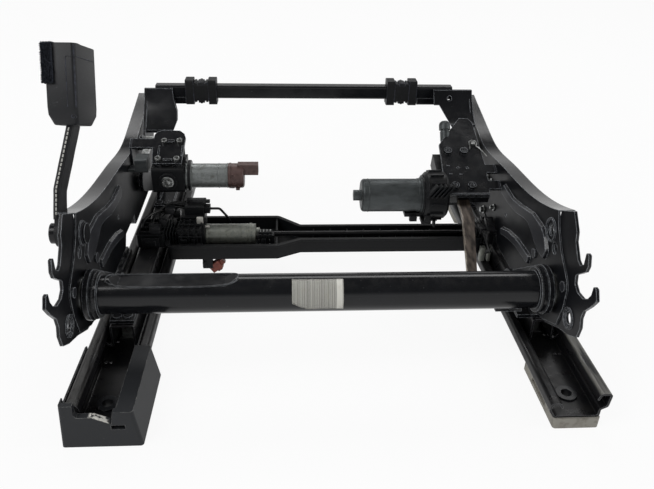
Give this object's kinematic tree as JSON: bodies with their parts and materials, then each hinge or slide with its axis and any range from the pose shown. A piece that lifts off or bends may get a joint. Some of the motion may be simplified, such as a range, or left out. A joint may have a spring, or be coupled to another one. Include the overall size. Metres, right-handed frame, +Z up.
{
  "type": "power seat slide rail base",
  "caption": "Powered front seat base: two floor rails, a sliding carriage with cross tray, a height linkage with torque tube, side frames, a front tilt tube and a belt buckle.",
  "frame": {"origin": "on the floor plane, midway between the four floor bolts", "axes": "+X to the right, +Y forward along the rails, +Z up"},
  "size_m": [0.5312, 0.522, 0.3205],
  "materials": {
    "rail_coat": "satin black coat",
    "frame_coat": "gloss black coat",
    "bright_zinc": "bright zinc plate",
    "galvanised_can": "dull galvanised",
    "grey_can": "satin grey",
    "ground_steel": "ground and oiled",
    "greased_bar": "rolled steel, greasy",
    "foot_metal": "blasted",
    "cover_plastic": "fine grain",
    "black_plastic": "fine grain",
    "brown_plastic": "smooth",
    "rust_plastic": "smooth",
    "clip_rubber": "matt",
    "buckle_plastic": "fine grain",
    "stalk_sleeve": "woven",
    "button_plastic": "smooth",
    "lead_sleeve": "smooth"
  },
  "bodies": {
    "floor_rails": {"lower_rail_left": "rail_coat", "lower_rail_right": "rail_coat", "rail_feet": "foot_metal", "foot_eyelets": "frame_coat", "rear_end_cover": "cover_plastic", "track_spindles": "ground_steel", "spindle_holders": "bright_zinc"},
    "ball_cages": {"ball_cages": "black_plastic", "track_balls": "ground_steel"},
    "carriage": {"upper_rail_left": "rail_coat", "upper_rail_right": "rail_coat", "rear_brackets": "frame_coat", "front_brackets": "frame_coat", "bracket_rivets": "frame_coat", "link_pivot_pins": "bright_zinc", "slide_gearbox_left": "black_plastic", "slide_gearbox_right": "black_plastic", "slide_motor_can": "galvanised_can", "slide_motor_case": "black_plastic", "cross_carrier": "black_plastic", "motor_plug": "black_plastic", "motor_lead": "lead_sleeve", "loom_clip": "black_plastic", "loom_connector": "rust_plastic"},
    "nut_left": {"drive_nut_left": "ground_steel"},
    "nut_right": {"drive_nut_right": "ground_steel"},
    "drive_shaft": {"drive_shaft": "rail_coat"},
    "rear_links": {"rear_torque_tube": "frame_coat", "rear_link_left": "frame_coat", "rear_link_right": "frame_coat", "tube_lever": "frame_coat"},
    "front_links": {"front_links": "frame_coat"},
    "height_rod": {"height_rod": "greased_bar"},
    "seat_frame": {"side_frame_left": "frame_coat", "side_frame_right": "frame_coat", "recliner_bracket_left": "frame_coat", "recliner_bracket_right": "frame_coat", "frame_rivets": "frame_coat", "frame_bushes": "bright_zinc", "tilt_pivot_pins": "bright_zinc", "height_motor_can": "grey_can", "height_gearcase": "black_plastic", "height_bracket_plate": "frame_coat", "tilt_motor_can": "galvanised_can", "tilt_motor_cap": "brown_plastic", "tilt_gearcase": "black_plastic", "tilt_bracket_plate": "frame_coat", "height_drive_screws": "frame_coat", "tilt_drive_screws": "bright_zinc", "tilt_guide": "bright_zinc", "buckle_anchor_bolt": "frame_coat"},
    "front_tilt": {"front_tube": "frame_coat", "front_arm_left": "frame_coat", "front_arm_right": "frame_coat", "clip_bushes": "clip_rubber"},
    "tilt_rod": {"tilt_rod": "bright_zinc"},
    "buckle": {"buckle_stalk": "stalk_sleeve", "buckle_body": "buckle_plastic"},
    "buckle_button": {"buckle_button": "button_plastic"}
  },
  "joints": [
    {"name": "track_slide", "type": "slide", "parent": "floor_rails", "child": "carriage", "axis": [0, 1, 0], "range_m": [-0.09, 0.14]},
    {"name": "cage_slide", "type": "slide", "parent": "floor_rails", "child": "ball_cages", "axis": [0, 1, 0], "range_m": [-0.045, 0.07]},
    {"name": "nut_left_spin", "type": "hinge", "parent": "carriage", "child": "nut_left", "pos_m": [-0.2245, 0.04, 0.0331], "axis": [0, 1, 0], "continuous": true},
    {"name": "nut_right_spin", "type": "hinge", "parent": "carriage", "child": "nut_right", "pos_m": [0.2245, 0.04, 0.0331], "axis": [0, 1, 0], "continuous": true},
    {"name": "shaft_spin", "type": "hinge", "parent": "carriage", "child": "drive_shaft", "pos_m": [0, 0.04, 0.054], "axis": [1, 0, 0], "continuous": true},
    {"name": "height", "type": "hinge", "parent": "carriage", "child": "rear_links", "pos_m": [0, -0.095, 0.066], "axis": [-1, 0, 0], "range_deg": [0, 50]},
    {"name": "front_link_turn", "type": "hinge", "parent": "carriage", "child": "front_links", "pos_m": [0, 0.175, 0.066], "axis": [-1, 0, 0], "range_deg": [0, 50]},
    {"name": "frame_level", "type": "hinge", "parent": "rear_links", "child": "seat_frame", "pos_m": [0, -0.165, 0.1], "axis": [-1, 0, 0], "range_deg": [-50, 0]},
    {"name": "height_rod_pivot", "type": "hinge", "parent": "rear_links", "child": "height_rod", "pos_m": [0, -0.13929, 0.06936], "axis": [-1, 0, 0], "range_deg": [-50, 0]},
    {"name": "front_tilt_turn", "type": "hinge", "parent": "seat_frame", "child": "front_tilt", "pos_m": [0, 0.145, 0.132], "axis": [1, 0, 0], "range_deg": [0, 9]},
    {"name": "tilt_rod_pivot", "type": "hinge", "parent": "front_tilt", "child": "tilt_rod", "pos_m": [0, 0.129, 0.146], "axis": [1, 0, 0], "range_deg": [-9, 0]},
    {"name": "buckle_swing", "type": "hinge", "parent": "seat_frame", "child": "buckle", "pos_m": [-0.2704, -0.139, 0.154], "axis": [1, 0, 0], "range_deg": [-25, 20]},
    {"name": "button_press", "type": "slide", "parent": "buckle", "child": "buckle_button", "axis": [0, -0.3746, -0.9272], "range_m": [0, 0.0035], "stiffness_N_per_m": 400, "springref_m": -0.004}
  ],
  "couplings": [
    {"joint": "cage_slide", "follows": "track_slide", "ratio": 0.5},
    {"joint": "nut_left_spin", "follows": "track_slide", "rad_per_m": 1047.2},
    {"joint": "nut_right_spin", "follows": "track_slide", "rad_per_m": 1047.2},
    {"joint": "shaft_spin", "follows": "track_slide", "rad_per_m": 6283.2},
    {"joint": "front_link_turn", "follows": "height", "ratio": 1},
    {"joint": "frame_level", "follows": "height", "ratio": -1},
    {"joint": "height_rod_pivot", "follows": "height", "ratio": -1},
    {"joint": "tilt_rod_pivot", "follows": "front_tilt_turn", "ratio": -1}
  ]
}
